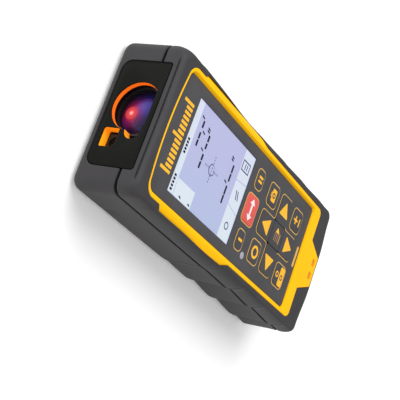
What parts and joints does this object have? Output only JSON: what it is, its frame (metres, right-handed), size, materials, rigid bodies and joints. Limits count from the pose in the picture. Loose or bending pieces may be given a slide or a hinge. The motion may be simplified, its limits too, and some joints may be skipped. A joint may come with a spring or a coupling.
{
  "type": "laser distance meter",
  "caption": "Slab-shaped hand-held laser distance meter with a screen, a keypad with a cross of keys, a recessed lens window in one end and grips down both sides.",
  "frame": {"origin": "centre of the back face, which the meter rests on", "axes": "+X right across the screen, +Y to the lens end, +Z out of the screen"},
  "size_m": [0.059, 0.1472, 0.0276],
  "materials": {
    "casing_rubber": "matt moulded-on rubber, very fine grain",
    "yellow_plastic": "satin moulded plastic",
    "panel_plastic": "matt moulded plastic",
    "key_rubber": "matt silicone with printed symbols",
    "measure_key_rubber": "matt silicone",
    "black_gloss": "polished",
    "black_plastic": "matt",
    "gasket_rubber": "matt",
    "cover_glass": "polished",
    "coated_glass": "polished, blue-violet coating",
    "lcd_glass": "lit display",
    "sensor_lens": "frosted",
    "circuit_board": "lacquered",
    "bright_steel": "plated",
    "brass": "turned",
    "silicone": "matt",
    "cell_jacket": "printed foil jacket"
  },
  "bodies": {
    "root": {"front_shell": "casing_rubber", "back_shell": "casing_rubber", "seam_gasket": "gasket_rubber", "bezel": "yellow_plastic", "keypad_panel": "panel_plastic", "light_sensor": "sensor_lens", "display_window": "cover_glass", "lcd_panel": "lcd_glass", "lcd_frame": "bright_steel", "key_mat": "silicone", "snap_domes": "bright_steel", "end_window": "black_gloss", "aperture_insert": "yellow_plastic", "lens_barrel": "black_plastic", "receiver_lens": "coated_glass", "laser_module": "brass", "collimator_lens": "cover_glass", "camera_module": "black_plastic", "camera_lens": "cover_glass", "optics_frame": "panel_plastic", "detector_board": "circuit_board", "main_board": "circuit_board", "buzzer": "black_plastic", "battery_1": "cell_jacket", "battery_2": "cell_jacket", "contact_spring_1": "bright_steel", "contact_spring_2": "bright_steel", "contact_plate_1": "bright_steel", "contact_plate_2": "bright_steel", "end_piece_pin": "bright_steel", "tripod_insert": "brass", "case_screw_1": "bright_steel", "case_screw_2": "bright_steel", "case_screw_3": "bright_steel", "case_screw_4": "bright_steel"},
    "key_f1": {"key_f1": "key_rubber"},
    "key_f2": {"key_f2": "key_rubber"},
    "key_measure": {"key_measure": "measure_key_rubber"},
    "key_function": {"key_function": "key_rubber"},
    "key_camera": {"key_camera": "key_rubber"},
    "key_clear": {"key_clear": "key_rubber"},
    "key_plus_minus": {"key_plus_minus": "key_rubber"},
    "key_up": {"key_up": "key_rubber"},
    "key_down": {"key_down": "key_rubber"},
    "key_left": {"key_left": "key_rubber"},
    "key_right": {"key_right": "key_rubber"},
    "key_equals": {"key_equals": "key_rubber"},
    "battery_cover": {"battery_cover": "casing_rubber"},
    "cover_latch": {"cover_latch": "yellow_plastic"},
    "end_piece": {"end_piece": "yellow_plastic"}
  },
  "joints": [
    {"name": "key_f1_press", "type": "slide", "parent": "root", "child": "key_f1", "axis": [0, 0, -1], "range_m": [0, 0.0004], "stiffness_N_per_m": 1500},
    {"name": "key_f2_press", "type": "slide", "parent": "root", "child": "key_f2", "axis": [0, 0, -1], "range_m": [0, 0.0004], "stiffness_N_per_m": 1500},
    {"name": "key_measure_press", "type": "slide", "parent": "root", "child": "key_measure", "axis": [0, 0, -1], "range_m": [0, 0.0004], "stiffness_N_per_m": 1500},
    {"name": "key_function_press", "type": "slide", "parent": "root", "child": "key_function", "axis": [0, 0, -1], "range_m": [0, 0.0004], "stiffness_N_per_m": 1500},
    {"name": "key_camera_press", "type": "slide", "parent": "root", "child": "key_camera", "axis": [0, 0, -1], "range_m": [0, 0.0004], "stiffness_N_per_m": 1500},
    {"name": "key_clear_press", "type": "slide", "parent": "root", "child": "key_clear", "axis": [0, 0, -1], "range_m": [0, 0.0004], "stiffness_N_per_m": 1500},
    {"name": "key_plus_minus_press", "type": "slide", "parent": "root", "child": "key_plus_minus", "axis": [0, 0, -1], "range_m": [0, 0.0004], "stiffness_N_per_m": 1500},
    {"name": "key_up_press", "type": "slide", "parent": "root", "child": "key_up", "axis": [0, 0, -1], "range_m": [0, 0.0004], "stiffness_N_per_m": 1500},
    {"name": "key_down_press", "type": "slide", "parent": "root", "child": "key_down", "axis": [0, 0, -1], "range_m": [0, 0.0004], "stiffness_N_per_m": 1500},
    {"name": "key_left_press", "type": "slide", "parent": "root", "child": "key_left", "axis": [0, 0, -1], "range_m": [0, 0.0004], "stiffness_N_per_m": 1500},
    {"name": "key_right_press", "type": "slide", "parent": "root", "child": "key_right", "axis": [0, 0, -1], "range_m": [0, 0.0004], "stiffness_N_per_m": 1500},
    {"name": "key_equals_press", "type": "slide", "parent": "root", "child": "key_equals", "axis": [0, 0, -1], "range_m": [0, 0.0004], "stiffness_N_per_m": 1500},
    {"name": "battery_cover_hinge", "type": "hinge", "parent": "root", "child": "battery_cover", "pos_m": [0, -0.05158, 0.00088], "axis": [-1, 0, 0], "range_deg": [0, 90]},
    {"name": "cover_latch_slide", "type": "slide", "parent": "battery_cover", "child": "cover_latch", "axis": [0, -1, 0], "range_m": [0, 0.0015], "stiffness_N_per_m": 600},
    {"name": "end_piece_hinge", "type": "hinge", "parent": "root", "child": "end_piece", "pos_m": [0, -0.0709, 0.0017], "axis": [-1, 0, 0], "range_deg": [0, 180]}
  ]
}
